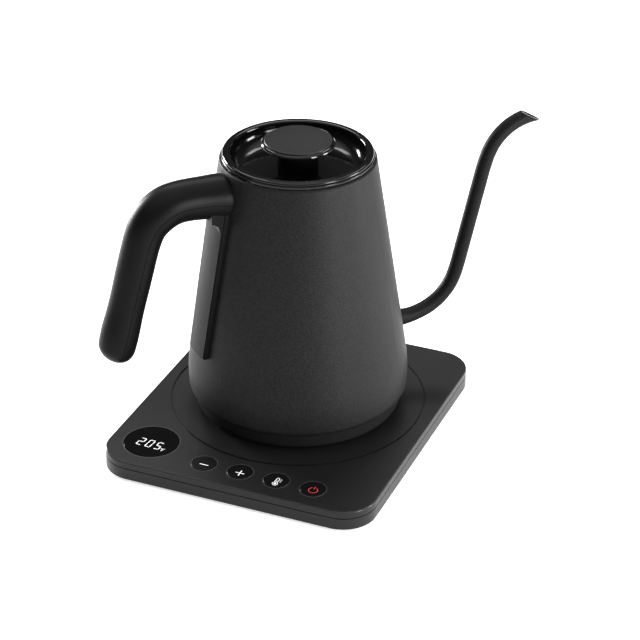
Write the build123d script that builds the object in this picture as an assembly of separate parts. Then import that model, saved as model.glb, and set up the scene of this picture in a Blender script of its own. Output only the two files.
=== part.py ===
from build123d import *
import os
from math import atan, cos, radians, sin, sqrt

# Electric gooseneck kettle standing on its control base.
# Millimetres, +Z up. The origin is the point on the table under the kettle's turning axis.
# +X runs along the control edge to the right and +Y points to the back of the base.

# ---------------------------------------------------------------- driving dimensions
BASE_WIDTH = 191.2
BASE_DEPTH = 216.6
BASE_CORNER = 23.0
BASE_CENTRE_Y = -12.5          # the kettle stands behind the middle of the base
BASE_BACK_Y = BASE_CENTRE_Y + BASE_DEPTH / 2
FOOT_HEIGHT = 2.3
DECK_Z = 16.0
DECK_EDGE = 1.0                # rounding of the deck's edge
SEAM_Z = 10.9                  # shadow gap between the two base shells
SEAM_GAP = 0.6
BASE_WALL = 2.4
DECK_THICKNESS = 2.5
BASE_FLOOR = 2.2
LIP_GAP = 0.15                 # the lower shell's lip stands inside the upper shell
LIP_THICKNESS = 1.2
LIP_HEIGHT = 1.8
LIP_ROOT = 2.5                 # height of the thicker wall that carries the lip
BOARD_Z = 6.0                  # underside of both circuit boards
BOARD_TOP_Z = 7.6
GROOVE_RADIUS = 86.7
GROOVE_WIDTH = 1.5
GROOVE_DEPTH = 0.9

DISPLAY_X = -67.2
DISPLAY_Y = -91.6
DISPLAY_RADIUS = 18.6
BUTTON_Y = -101.9
BUTTON_FIRST_X = -24.0
BUTTON_PITCH = 25.8
BUTTON_RADIUS = 8.5
BUTTON_PROUD = 0.25
BUTTON_TRAVEL = 0.8
BUTTON_NAMES = ("minus", "plus", "temperature", "power")

SHELL_TOP_Z = 198.8
SHELL_BOTTOM_Z = 29.0
SHELL_TOP_RADIUS = 51.45       # of the straight side, carried up to SHELL_TOP_Z
SIDE_SLOPE = 0.154             # growth of the radius for each millimetre down
KNEE_Z = 56.0                  # where the straight side turns into the belly arc
BELLY_RADIUS = 100.0
SHELL_WALL = 1.0
SHELL_SHOULDER = 1.3           # rounding under the collar
SHELL_HEM = 4.2                # rounding of the lower edge
HEM_RADIUS = 71.5              # outside of the band turned up inside the lower edge
HEM_HEIGHT = 3.0
MOUTH_RADIUS = 47.0

PLATE_Z = 38.0                 # floor of the water space
COVER_BOTTOM_Z = 18.0
PLATE_STUD_RADIUS = 62.0       # circle of the three studs
KETTLE_FOOT_RADIUS = 56.0      # circle of the three feet

# A path lies in the upright plane at its azimuth: ("line", length) or
# ("arc", radius, heading at its end). Headings are degrees above level.
SPOUT_AZIMUTH = 47.3
SPOUT_RADIUS = 5.13
SPOUT_BORE = 4.3
SPOUT_START = (70.0, 60.7)     # distance from the axis, height
SPOUT_HEADING = -5.0
SPOUT_PATH = (
    ("line", 6.1),
    ("arc", 45.9, 22.1),
    ("arc", 37.2, 71.9),
    ("arc", 150.0, 76.15),
    ("line", 65.15),
    ("arc", 108.3, 70.05),
    ("arc", 36.2, 18.8),
    ("arc", 44.1, -5.0),
    ("line", 6.0),
)
# Outside radius where the spout leaves the body: piece of the path, fraction, radius.
SPOUT_FLARE = (
    (0, 0.0, 6.4),
    (1, 0.0, 6.0),
    (1, 0.2, 5.6),
    (1, 0.5, 5.25),
    (1, 1.0, SPOUT_RADIUS),
)
SPOUT_TIP = (172.8, 194.9)     # middle of the slanted mouth
SPOUT_CUT_ANGLE = -30.3

HANDLE_AZIMUTH = -132.7
HANDLE_START = (45.1, 179.44)
HANDLE_HEADING = 9.66
HANDLE_GRIP_LENGTH = 70.2
HANDLE_PATH = (
    ("line", 8.0),
    ("arc", 171.0, -0.3),
    ("arc", 26.85, -63.8),
    ("arc", 63.1, -74.8),
    ("line", HANDLE_GRIP_LENGTH),
)
# Outside radius of the handle: piece of the path, fraction along it, radius.
HANDLE_STATIONS = (
    (0, 0.0, 15.1),
    (0, 1.0, 15.1),
    (1, 0.4, 14.3),
    (1, 1.0, 13.74),
    (2, 0.25, 13.88),
    (2, 0.5, 13.87),
    (2, 0.75, 13.5),
    (2, 1.0, 12.8),
    (3, 0.5, 12.55),
    (3, 1.0, 12.4),
    (4, 0.33, 12.27),
    (4, 0.67, 12.15),
    (4, 1.0, 12.5),
)
HANDLE_END_ANGLES = (18, 36, 52, 66, 78, 86)    # stations round the rounded lower end
HANDLE_END_LEAN = 2.0          # the end's lowest point lies this much nearer the kettle
HANDLE_END_FULLNESS = 0.86     # 1 is a half ball, less is squarer
HANDLE_WALL = 2.4
HANDLE_SEAM = 0.3
BODY_GAP = 0.15                # between the kettle's side and what is fixed on it
GRIP_SCREW_PLACES = (0.12, 0.62)    # fractions of the grip's straight length

STRIP_BOTTOM_Z = 69.6
STRIP_TOP_Z = 182.0
STRIP_HALF_WIDTH_TOP = 12.7
STRIP_HALF_WIDTH_BOTTOM = 11.2
STRIP_PROUD = 3.9
FLANGE_EXTRA = 0.8
FLANGE_PROUD = 3.2
GUSSET_CORNER_Z = 167.8        # where the strip's face would meet the handle's underside
GUSSET_RADIUS = 6.0
STRIP_HOLE_RADIUS = 1.2
STRIP_HOLE_Z = 164.0
STRIP_HOLE_SIDEWAYS = 6.0

COLLAR_OUTER = 50.0
COLLAR_INNER = 46.0
COLLAR_TOP_Z = 200.9
LID_GAP = 0.2
LID_FLANGE_RADIUS = 49.4
LID_TOP_Z = 203.2
DISH_RIM_RADIUS = 45.3
DISH_FLOOR_Z = 190.9
DISH_FLOOR_RADIUS = 36.5
DISH_WALL = 1.8
STEM_RADIUS = 13.4
KNOB_RADIUS = 24.4
KNOB_CAP_RADIUS = 22.1
KNOB_TOP_Z = 210.6

POST_RADIUS = 15.0             # connector post on the base
POST_TOP_Z = 25.0
SOCKET_GAP = 0.4
GLAND_BORE = 3.3
GLAND_Z = 9.3
GLAND_RADIUS = 4.1

BELOW = -10.0                  # heights clear of everything, for cuts right through
ABOVE = 260.0
BOTTOM = (Align.CENTER, Align.CENTER, Align.MIN)


# ---------------------------------------------------------------- shared geometry
def disc(radius, z_low, z_high, x=0.0, y=0.0):
    """Upright cylinder between two heights."""
    return Pos(x, y, z_low) * Cylinder(radius, z_high - z_low, align=BOTTOM)


def ring(outer, inner, z_low, z_high, x=0.0, y=0.0):
    """Upright tube between two heights."""
    return disc(outer, z_low, z_high, x, y) - disc(inner, z_low - 1, z_high + 1, x, y)


def block(x_low, x_high, y_low, y_high, z_low, z_high):
    """Box between its lowest and highest corners."""
    size = (x_high - x_low, y_high - y_low, z_high - z_low)
    middle = ((x_low + x_high) / 2, (y_low + y_high) / 2, z_low)
    return Pos(*middle) * Box(*size, align=BOTTOM)


def turned(points):
    """Solid of revolution about the kettle's axis from (radius, height) corners."""
    outline = Polyline(*[(r, 0, z) for r, z in points], close=True)
    return revolve(make_face(outline), Axis.Z)


def bar_y(radius, y_low, y_high, z):
    """Round bar along Y, over the middle of the base."""
    return Pos(0, (y_low + y_high) / 2, z) * Rot(90, 0, 0) * Cylinder(radius, y_high - y_low)


def base_slab(inset, z_low, z_high):
    """The base's rounded outline, moved in by inset, as a solid."""
    outline = RectangleRounded(
        BASE_WIDTH - 2 * inset, BASE_DEPTH - 2 * inset, BASE_CORNER - inset
    )
    return extrude(Pos(0, BASE_CENTRE_Y, z_low) * outline, z_high - z_low)


def polar(radius, degrees_round):
    """X and Y of a point at a radius and an azimuth about the kettle's axis."""
    return (radius * cos(radians(degrees_round)), radius * sin(radians(degrees_round)))


def side_solid(inset, z_low, z_high):
    """The kettle's round body as one solid, its side moved in by inset."""
    tilt = atan(SIDE_SLOPE)
    knee_radius = SHELL_TOP_RADIUS + SIDE_SLOPE * (SHELL_TOP_Z - KNEE_Z)
    centre_r = knee_radius - BELLY_RADIUS * cos(tilt)
    centre_z = KNEE_Z - BELLY_RADIUS * sin(tilt)
    reach = BELLY_RADIUS - inset
    knee = (centre_r + reach * cos(tilt), 0, centre_z + reach * sin(tilt))
    low = (centre_r + sqrt(reach**2 - (z_low - centre_z) ** 2), 0, z_low)
    middle_z = (knee[2] + z_low) / 2
    middle = (centre_r + sqrt(reach**2 - (middle_z - centre_z) ** 2), 0, middle_z)
    high = (knee[0] - SIDE_SLOPE * (z_high - knee[2]), 0, z_high)
    edges = [
        Line((0, 0, z_low), low),
        ThreePointArc(low, middle, knee),
        Line(knee, high),
        Line(high, (0, 0, z_high)),
        Line((0, 0, z_high), (0, 0, z_low)),
    ]
    return revolve(make_face(edges), Axis.Z)


def arc_end(point, heading, radius, new_heading):
    """Where a tangent arc from a point ends, once its heading has turned."""
    side = 1 if new_heading > heading else -1
    a = radians(heading)
    b = radians(new_heading)
    s = point[0] + side * radius * (sin(b) - sin(a))
    z = point[1] - side * radius * (cos(b) - cos(a))
    return (s, z)


def path_state(start, heading, pieces, index, fraction):
    """Point and heading at a fraction of one piece of a path."""
    point = start
    for number, piece in enumerate(pieces):
        share = fraction if number == index else 1.0
        if piece[0] == "line":
            length = piece[1] * share
            step = (length * cos(radians(heading)), length * sin(radians(heading)))
            point = (point[0] + step[0], point[1] + step[1])
        else:
            turn_to = heading + (piece[2] - heading) * share
            point = arc_end(point, heading, piece[1], turn_to)
            heading = turn_to
        if number == index:
            break
    return point, heading


def lift(azimuth, point):
    """Turn (distance from the axis, height) into a point in space."""
    x, y = polar(point[0], azimuth)
    return Vector(x, y, point[1])


def path_edges(azimuth, start, heading, pieces, first=0, last=None):
    """Edges of a path that lies in the upright plane at an azimuth."""
    edges = []
    end = len(pieces) if last is None else last
    for number in range(first, end):
        a, _ = path_state(start, heading, pieces, number, 0.0)
        m, _ = path_state(start, heading, pieces, number, 0.5)
        b, _ = path_state(start, heading, pieces, number, 1.0)
        if pieces[number][0] == "line":
            edges.append(Line(lift(azimuth, a), lift(azimuth, b)))
        else:
            edges.append(
                ThreePointArc(lift(azimuth, a), lift(azimuth, m), lift(azimuth, b))
            )
    return Wire(edges)


def section_plane(azimuth, point, heading):
    """Plane across a path: X to the side, Y away from the kettle's underside."""
    sideways = Vector(-sin(radians(azimuth)), cos(radians(azimuth)), 0)
    outward = Vector(cos(radians(azimuth)), sin(radians(azimuth)), 0)
    up = outward * -sin(radians(heading)) + Vector(0, 0, 1) * cos(radians(heading))
    return Plane(origin=lift(azimuth, point), x_dir=sideways, z_dir=sideways.cross(up))


# ---------------------------------------------------------------- base
def button_x(number):
    return BUTTON_FIRST_X + number * BUTTON_PITCH


def base_screw_places():
    """Six screws hold the two base shells together."""
    rows = ((84.0, -62.0), (84.0, 12.0), (60.0, 92.0))
    return [(side * x, BASE_CENTRE_Y + y) for side in (-1, 1) for x, y in rows]


def foot_places():
    return [(x, BASE_CENTRE_Y + y) for x in (-72.0, 72.0) for y in (-88.0, 88.0)]


def board_post_places():
    control = [(x, y) for x in (-78.0, 64.0) for y in (-108.0, -88.0)]
    power = [(x, y) for x in (-41.0, 41.0) for y in (28.0, 62.0)]
    return control + power


def base_top_shell():
    """Upper casing: the deck, the sides down to the seam and the screw bosses."""
    shell = base_slab(0, SEAM_Z + SEAM_GAP / 2, DECK_Z)
    shell = fillet(shell.faces().sort_by(Axis.Z)[-1].edges(), DECK_EDGE)
    shell -= base_slab(BASE_WALL, BELOW, DECK_Z - DECK_THICKNESS)
    for x, y in base_screw_places():
        shell += disc(3.4, 8.2, DECK_Z - 1, x, y)
        shell -= disc(1.55, 7.0, 13.0, x, y)
    groove_inner = GROOVE_RADIUS - GROOVE_WIDTH / 2
    shell -= ring(GROOVE_RADIUS + GROOVE_WIDTH / 2, groove_inner, DECK_Z - GROOVE_DEPTH, ABOVE)
    shell -= disc(DISPLAY_RADIUS + 0.15, DECK_Z - 1.3, ABOVE, DISPLAY_X, DISPLAY_Y)
    shell -= disc(DISPLAY_RADIUS - 1.6, BELOW, ABOVE, DISPLAY_X, DISPLAY_Y)
    for number in range(len(BUTTON_NAMES)):
        shell -= disc(BUTTON_RADIUS + 0.3, BELOW, ABOVE, button_x(number), BUTTON_Y)
    shell -= disc(POST_RADIUS + 2.2, BELOW, ABOVE)
    return shell - gland_hole()


def base_bottom_shell():
    """Lower casing: a tray with a lip, screw posts, board posts and foot recesses."""
    top_z = SEAM_Z - SEAM_GAP / 2
    floor_z = FOOT_HEIGHT + BASE_FLOOR
    lip_inset = BASE_WALL + LIP_GAP
    tray = base_slab(0, FOOT_HEIGHT, top_z)
    tray = fillet(tray.faces().sort_by(Axis.Z)[0].edges(), 0.9)
    tray += base_slab(lip_inset, floor_z - 1, top_z + LIP_HEIGHT)
    tray -= base_slab(BASE_WALL, floor_z, top_z - LIP_ROOT)
    tray -= base_slab(lip_inset + LIP_THICKNESS, floor_z, ABOVE)
    for x, y in base_screw_places():
        tray += disc(5.0, floor_z - 1, 8.0, x, y)
        tray -= disc(3.4, BELOW, 6.0, x, y)
        tray -= disc(1.8, BELOW, ABOVE, x, y)
    for x, y in foot_places():
        tray -= disc(8.1, BELOW, FOOT_HEIGHT + 0.4, x, y)
    for x, y in board_post_places():
        tray += disc(2.8, floor_z - 1, BOARD_Z, x, y)
    return tray - gland_hole()


def base_feet():
    feet = Part()
    for x, y in foot_places():
        foot = disc(8.0, 0, FOOT_HEIGHT + 0.4, x, y)
        feet += chamfer(foot.faces().sort_by(Axis.Z)[0].edges(), 0.6)
    return feet


def base_screws():
    screws = Part()
    for x, y in base_screw_places():
        screws += countersunk_screw(x, y, 3.6, 3.1, 1.5, 2.3, 12.4)
    return screws


def countersunk_screw(x, y, z_low, head_radius, shank_radius, head_height, z_high):
    """Screw that points up, with a cross recess in its head."""
    screw = disc(head_radius, z_low, z_low + head_height, x, y)
    screw += disc(shank_radius, z_low, z_high, x, y)
    for width, depth in ((3.2, 0.8), (0.8, 3.2)):
        screw -= block(
            x - width / 2, x + width / 2, y - depth / 2, y + depth / 2, z_low - 1, z_low + 0.9
        )
    return screw


def base_connector():
    """Round post that the kettle turns on, with slots for its ring contacts."""
    post = turned(
        [
            (0, 7.4),
            (21.0, 7.4),
            (21.0, 13.3),
            (17.0, 13.3),
            (17.0, DECK_Z),
            (POST_RADIUS, DECK_Z),
            (POST_RADIUS, POST_TOP_Z - 1.2),
            (POST_RADIUS - 1.2, POST_TOP_Z),
            (0, POST_TOP_Z),
        ]
    )
    post -= ring(7.4, 4.6, 15.0, ABOVE)
    post -= ring(12.4, 9.6, 15.0, ABOVE)
    return post - disc(3.2, 12.0, ABOVE)


def connector_contacts():
    """Centre pin and the two sprung contact rings in the post."""
    pin = disc(1.5, 12.0, POST_TOP_Z - 0.6)
    return pin + ring(7.3, 6.6, 15.0, 21.0) + ring(12.3, 11.6, 15.0, 21.0)


def display_window():
    lens = disc(DISPLAY_RADIUS, DECK_Z - 1.2, DECK_Z, DISPLAY_X, DISPLAY_Y)
    return chamfer(lens.faces().sort_by(Axis.Z)[-1].edges(), 0.25)


def display_module():
    """Digit display behind the window, standing on the control board."""
    centre_x = DISPLAY_X - 2
    half_x = 13.0
    half_y = 7.0
    frame = 1.5
    front = DISPLAY_Y - half_y
    back = DISPLAY_Y + half_y
    case = block(centre_x - half_x, centre_x + half_x, front, back, BOARD_TOP_Z, 14.5)
    inner_x = half_x - frame
    return case - block(
        centre_x - inner_x, centre_x + inner_x, front + frame, back - frame, 14.1, ABOVE
    )


def control_board():
    return block(-82, 68, -112, -84, BOARD_Z, BOARD_TOP_Z)


def tact_switches():
    switches = Part()
    for number in range(len(BUTTON_NAMES)):
        x = button_x(number)
        switches += block(x - 3, x + 3, BUTTON_Y - 3, BUTTON_Y + 3, BOARD_TOP_Z, 9.4)
        switches += disc(1.7, 9.4, 10.0, x, BUTTON_Y)
    return switches


def power_board():
    return block(-45, 45, 24, 66, BOARD_Z, BOARD_TOP_Z)


def power_parts():
    """Relay, transformer, capacitor and terminal block on the power board."""
    relay = block(-36, -18, 44, 59, BOARD_TOP_Z, 13.2)
    transformer = block(8, 24, 42, 58, BOARD_TOP_Z, 13.1)
    capacitor = Pos(30, 34, 10.4) * Rot(0, 90, 0) * Cylinder(2.7, 14)
    terminals = block(-10, 4, 59, 65, BOARD_TOP_Z, 12.6)
    return relay + transformer + capacitor + terminals


def ribbon_cable():
    """Flat cable along the tray floor, with a plug up to each of the two boards."""
    x_low = -12
    x_high = 0
    y_low = -90
    y_high = 30
    plug = 4
    low_z = FOOT_HEIGHT + BASE_FLOOR + 0.1
    cable = block(x_low, x_high, y_low, y_high, low_z, low_z + 0.6)
    cable += block(x_low, x_high, y_low, y_low + plug, low_z, BOARD_Z)
    return cable + block(x_low, x_high, y_high - plug, y_high, low_z, BOARD_Z)


def gland_hole():
    return bar_y(GLAND_RADIUS + 0.1, BASE_BACK_Y - 10, BASE_BACK_Y + 10, GLAND_Z)


def cord_gland():
    """Bush in the back wall where the supply cord comes in."""
    inner_y = BASE_BACK_Y - 6.3
    outer_y = BASE_BACK_Y + 1.9
    sleeve = bar_y(GLAND_RADIUS, inner_y, outer_y, GLAND_Z)
    rim = bar_y(GLAND_RADIUS + 1.3, BASE_BACK_Y + 0.1, outer_y, GLAND_Z)
    keeper = block(-7, 7, inner_y, inner_y + 1.9, GLAND_Z - 4.0, GLAND_Z + 4.0)
    return sleeve + rim + keeper - bar_y(GLAND_BORE, inner_y - 5, outer_y + 5, GLAND_Z)


def button(number):
    """Push button: cap in the deck hole, keeper flange under the deck and plunger."""
    x = button_x(number)
    cap_top = DECK_Z + BUTTON_PROUD
    cap = disc(BUTTON_RADIUS, 12.4, cap_top, x, BUTTON_Y)
    cap = fillet(cap.faces().sort_by(Axis.Z)[-1].edges(), 0.4)
    flange = disc(BUTTON_RADIUS + 1.3, 12.2, 13.3, x, BUTTON_Y)
    plunger = disc(2.0, 10.0 + BUTTON_TRAVEL + 0.15, 12.4, x, BUTTON_Y)
    return cap + flange + plunger


def swivel_ring():
    """Slip ring round the foot of the post, which turns with the kettle."""
    return ring(19.0, POST_RADIUS + 0.3, DECK_Z + 0.05, DECK_Z + 1.7)


# ---------------------------------------------------------------- kettle body
def kettle_shell():
    """Steel body: side, shoulder turned in under the collar, and lower edge turned in."""
    body = side_solid(0, SHELL_BOTTOM_Z, SHELL_TOP_Z)
    body = fillet(body.edges().sort_by(Axis.Z)[-1], SHELL_SHOULDER)
    body = fillet(body.edges().sort_by(Axis.Z)[0], SHELL_HEM)
    body -= side_solid(SHELL_WALL, SHELL_BOTTOM_Z + 1.2, SHELL_TOP_Z - 1.2)
    body += ring(HEM_RADIUS, HEM_RADIUS - 2.4, SHELL_BOTTOM_Z, SHELL_BOTTOM_Z + HEM_HEIGHT)
    body -= disc(MOUTH_RADIUS, 150, ABOVE)
    body -= disc(HEM_RADIUS - 2.0, BELOW, 40)
    return body - spout_outside()


def rim_collar():
    """Gloss ring round the mouth, with a sleeve down inside the shell."""
    collar = ring(COLLAR_OUTER, COLLAR_INNER, SHELL_TOP_Z, COLLAR_TOP_Z)
    outer_edges = collar.edges().filter_by(GeomType.CIRCLE).sort_by(SortBy.RADIUS)[-2:]
    collar = fillet(outer_edges, 0.6)
    return collar + ring(MOUTH_RADIUS - 0.1, COLLAR_INNER, 193.0, SHELL_TOP_Z + 0.5)


def sensor_place():
    return polar(25.0, 200.0)


def plate_stud_places():
    return [polar(PLATE_STUD_RADIUS, a) for a in (30.0, 150.0, 270.0)]


def heating_plate():
    """Floor of the water space, with its rim turned down and three studs under it."""
    plate = disc(HEM_RADIUS + 1.8, PLATE_Z - 1.2, PLATE_Z)
    plate += ring(HEM_RADIUS + 1.2, HEM_RADIUS, SHELL_BOTTOM_Z + HEM_HEIGHT, PLATE_Z - 0.5)
    x, y = sensor_place()
    plate -= disc(4.3, BELOW, ABOVE, x, y)
    for x, y in plate_stud_places():
        plate += disc(3.2, 34.4, PLATE_Z - 0.8, x, y)
        plate -= disc(1.5, BELOW, 36.4, x, y)
    return plate


def heat_spreader():
    x, y = sensor_place()
    return disc(52.0, 33.8, PLATE_Z - 1.2) - disc(4.3, BELOW, ABOVE, x, y)


def heating_element():
    """Tubular heater under the spreader: an open ring with two cold ends turned down."""
    tube_radius = 3.4
    hoop_radius = 40.0
    hoop_z = 30.8
    half_gap = 25.0
    start = Plane(
        origin=(*polar(hoop_radius, half_gap), hoop_z),
        x_dir=(0, 0, 1),
        z_dir=(*polar(1, half_gap + 90), 0),
    )
    arc = 360 - 2 * half_gap
    hoop = revolve(start * Circle(tube_radius), Axis.Z, revolution_arc=arc)
    hoop -= disc(80, 33.8, ABOVE)
    for a in (half_gap, -half_gap):
        x, y = polar(hoop_radius, a)
        hoop += disc(tube_radius, 27.4, hoop_z, x, y) + disc(1.6, 24.5, 28.0, x, y)
    return hoop


def heater_leads():
    """Two insulated leads from the connector to the heater's cold ends."""
    leads = Part()
    for side in (-1, 1):
        x, y = polar(40.0, 25.0 * side)
        a = Vector(17.2, 6.4 * side, 25.8)
        b = Vector(x - 2.6, y - 1.2 * side, 25.8)
        run = b - a
        leads += Plane(origin=a, z_dir=run) * Cylinder(1.1, run.length, align=BOTTOM)
    return leads


def temperature_sensor():
    x, y = sensor_place()
    probe = disc(3.0, 29.0, 46.0, x, y)
    return fillet(probe.faces().sort_by(Axis.Z)[-1].edges(), 1.6)


def sensor_seal():
    x, y = sensor_place()
    return ring(4.2, 3.05, 33.8, PLATE_Z + 0.1, x, y) + ring(6.2, 3.05, PLATE_Z, 39.2, x, y)


def boil_dry_cutout():
    """Thermostat block pressed against the spreader."""
    cutout = block(-8, 8, 20, 34, 28.6, 33.7)
    for x in (-4, 4):
        cutout += disc(2.2, 26.4, 28.8, x, 27)
    return cutout


def bottom_cover():
    """Plastic underside of the kettle, open in the middle for the connector."""
    top_z = SHELL_BOTTOM_Z - 0.1
    cover = turned(
        [
            (19.8, COVER_BOTTOM_Z),
            (HEM_RADIUS - 4.4, COVER_BOTTOM_Z),
            (HEM_RADIUS - 2.6, COVER_BOTTOM_Z + 0.8),
            (HEM_RADIUS - 1.8, COVER_BOTTOM_Z + 2.2),
            (HEM_RADIUS + 0.3, top_z),
            (HEM_RADIUS - 2.5, top_z),
            (HEM_RADIUS - 2.5, top_z + 2.4),
            (HEM_RADIUS - 3.9, top_z + 2.4),
            (HEM_RADIUS - 3.9, 24.0),
            (HEM_RADIUS - 6.0, COVER_BOTTOM_Z + 2.0),
            (19.8, COVER_BOTTOM_Z + 2.0),
        ]
    )
    for x, y in plate_stud_places():
        cover += disc(4.4, 19.0, 34.3, x, y)
        cover -= disc(3.3, BELOW, 20.8, x, y)
        cover -= disc(1.7, BELOW, ABOVE, x, y)
    for x, y in kettle_foot_places():
        cover -= disc(5.1, BELOW, COVER_BOTTOM_Z + 0.4, x, y)
    return cover


def bottom_cover_screws():
    screws = Part()
    for x, y in plate_stud_places():
        screws += countersunk_screw(x, y, 18.6, 3.0, 1.4, 2.1, 36.0)
    return screws


def kettle_foot_places():
    return [polar(KETTLE_FOOT_RADIUS, a) for a in (90.0, 210.0, 330.0)]


def kettle_feet():
    feet = Part()
    for x, y in kettle_foot_places():
        feet += disc(5.0, DECK_Z + 0.1, COVER_BOTTOM_Z + 0.4, x, y)
    return feet


def kettle_connector():
    """Socket under the kettle that drops over the post at any angle."""
    roof = POST_TOP_Z + 0.6
    cavity = POST_RADIUS + SOCKET_GAP
    socket = turned(
        [
            (cavity + 0.6, COVER_BOTTOM_Z + 0.1),
            (19.6, COVER_BOTTOM_Z + 0.1),
            (19.6, 20.1),
            (23.0, 20.1),
            (23.0, 21.8),
            (19.0, 21.8),
            (17.4, 23.0),
            (17.4, 24.4),
            (15.8, 28.4),
            (0, 28.4),
            (0, roof),
            (cavity, roof),
            (cavity, COVER_BOTTOM_Z + 1.0),
        ]
    )
    return socket - connector_blades()


def connector_blades():
    """Two ring blades and the centre sleeve that meet the base's contacts."""
    blades = Part()
    for outer in (2.7, 5.8, 10.8):
        blades += ring(outer, outer - 0.8, 17.4, 27.4)
    return blades


# ---------------------------------------------------------------- spout
def spout_sweep(radius, first, last):
    """Round bar along part of the spout's path."""
    point, heading = path_state(SPOUT_START, SPOUT_HEADING, SPOUT_PATH, first, 0.0)
    wire = path_edges(SPOUT_AZIMUTH, SPOUT_START, SPOUT_HEADING, SPOUT_PATH, first, last)
    return sweep(section_plane(SPOUT_AZIMUTH, point, heading) * Circle(radius), path=wire)


def spout_outside():
    """Outside of the spout, thicker where it is welded to the body."""
    sections = []
    for piece, fraction, radius in SPOUT_FLARE:
        point, heading = path_state(
            SPOUT_START, SPOUT_HEADING, SPOUT_PATH, piece, fraction
        )
        sections.append(section_plane(SPOUT_AZIMUTH, point, heading) * Circle(radius))
    return loft(sections) + spout_sweep(SPOUT_RADIUS, 2, len(SPOUT_PATH))


def spout_tube():
    """Gooseneck tube, cut flush with the inside of the body and slanted at the mouth."""
    tube = spout_outside() - spout_sweep(SPOUT_BORE, 0, len(SPOUT_PATH))
    tube -= side_solid(SHELL_WALL - 0.05, SHELL_BOTTOM_Z, SHELL_TOP_Z)
    across = section_plane(SPOUT_AZIMUTH, SPOUT_TIP, SPOUT_CUT_ANGLE)
    mouth = Plane(origin=across.origin, x_dir=across.x_dir, z_dir=across.y_dir)
    return tube - mouth * Box(90, 90, 40, align=BOTTOM)


# ---------------------------------------------------------------- handle
def handle_solid(change):
    """The handle's outside as one solid, its radius changed by a constant."""
    sections = []
    for piece, fraction, radius in HANDLE_STATIONS:
        point, heading = path_state(
            HANDLE_START, HANDLE_HEADING, HANDLE_PATH, piece, fraction
        )
        plane = section_plane(HANDLE_AZIMUTH, point, heading)
        sections.append(plane * Circle(radius + change))
    end_radius = HANDLE_STATIONS[-1][2] + change
    for angle in HANDLE_END_ANGLES:
        ahead = end_radius * sin(radians(angle))
        beyond = (
            point[0] + ahead * cos(radians(heading)),
            point[1] + ahead * sin(radians(heading)),
        )
        plane = section_plane(HANDLE_AZIMUTH, beyond, heading)
        lean = Pos(0, -HANDLE_END_LEAN * sin(radians(angle)) ** 2)
        radius = end_radius * cos(radians(angle)) ** HANDLE_END_FULLNESS
        sections.append(plane * lean * Circle(radius))
    return loft(sections)


def handle_ribbon(width, thickness, grip_length):
    """Flat band along the handle's centre line, from inside the body to down the grip."""
    pieces = HANDLE_PATH[:-1] + (("line", grip_length),)
    point, heading = path_state(HANDLE_START, HANDLE_HEADING, pieces, 0, 0.0)
    plane = section_plane(HANDLE_AZIMUTH, point, heading)
    wire = path_edges(HANDLE_AZIMUTH, HANDLE_START, HANDLE_HEADING, pieces)
    return sweep(plane * Rectangle(width, thickness), path=wire)


def handle_halves():
    """The handle's casing, parted along its centre line: inner half, then outer half."""
    tube = handle_solid(0) - handle_solid(-HANDLE_WALL)
    tube -= side_solid(-BODY_GAP, SHELL_BOTTOM_Z, SHELL_TOP_Z + 8)
    halves = tube - handle_ribbon(60, HANDLE_SEAM, HANDLE_GRIP_LENGTH + 20)
    return halves.solids().sort_by(Axis.Z)


def grip_screw_planes():
    """Planes at the two grip screws, on the centre line and square to the grip."""
    planes = []
    grip = len(HANDLE_PATH) - 1
    for fraction in GRIP_SCREW_PLACES:
        point, heading = path_state(HANDLE_START, HANDLE_HEADING, HANDLE_PATH, grip, fraction)
        across = section_plane(HANDLE_AZIMUTH, point, heading)
        planes.append(
            Plane(origin=across.origin, x_dir=across.x_dir, z_dir=across.y_dir * -1)
        )
    return planes


def handle_outer_shell():
    return handle_halves()[1]


def handle_inner_shell():
    """Half facing the kettle, with posts that reach the bracket for two screws."""
    half = handle_halves()[0]
    for plane in grip_screw_planes():
        post = Pos(0, 0, 2.1) * Cylinder(4.4, 8.6, align=BOTTOM)
        head_room = Pos(0, 0, 9.2) * Cylinder(2.8, 6, align=BOTTOM)
        half += plane * post
        half -= plane * head_room
        half -= plane * Cylinder(1.6, 40)
    return half


def handle_bracket():
    """Steel bar inside the handle, welded to the body through a foot plate."""
    foot_plane = section_plane(HANDLE_AZIMUTH, (50.0, 180.3), HANDLE_HEADING)
    foot = foot_plane * Box(16, 16, 24) & side_solid(-4.0, SHELL_BOTTOM_Z, SHELL_TOP_Z)
    bracket = handle_ribbon(12, 4, HANDLE_GRIP_LENGTH * 0.75) + foot
    bracket -= side_solid(0, SHELL_BOTTOM_Z, SHELL_TOP_Z + 8)
    for plane in grip_screw_planes():
        bracket -= plane * Cylinder(1.45, 5)
    return bracket


def handle_screws():
    """Two screws through the inner shell into the bracket."""
    screws = Part()
    for plane in grip_screw_planes():
        screw = Pos(0, 0, -1.9) * Cylinder(1.4, 12.2, align=BOTTOM)
        screw += Pos(0, 0, 9.25) * Cylinder(2.6, 1.7, align=BOTTOM)
        screw -= Pos(0, 0, 11) * Box(2.8, 0.7, 1.6)
        screws += plane * screw
    return screws


def strip_prism(extra):
    """Long narrow wedge that gives the mount cover its width, square to the side."""
    wide = STRIP_HALF_WIDTH_TOP + extra
    narrow = STRIP_HALF_WIDTH_BOTTOM + extra
    corners = [
        (-narrow, STRIP_BOTTOM_Z - extra * 0.4),
        (narrow, STRIP_BOTTOM_Z - extra * 0.4),
        (wide, STRIP_TOP_Z),
        (-wide, STRIP_TOP_Z),
    ]
    return strip_plane() * extrude(make_face(Polyline(*corners, close=True)), 110)


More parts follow.
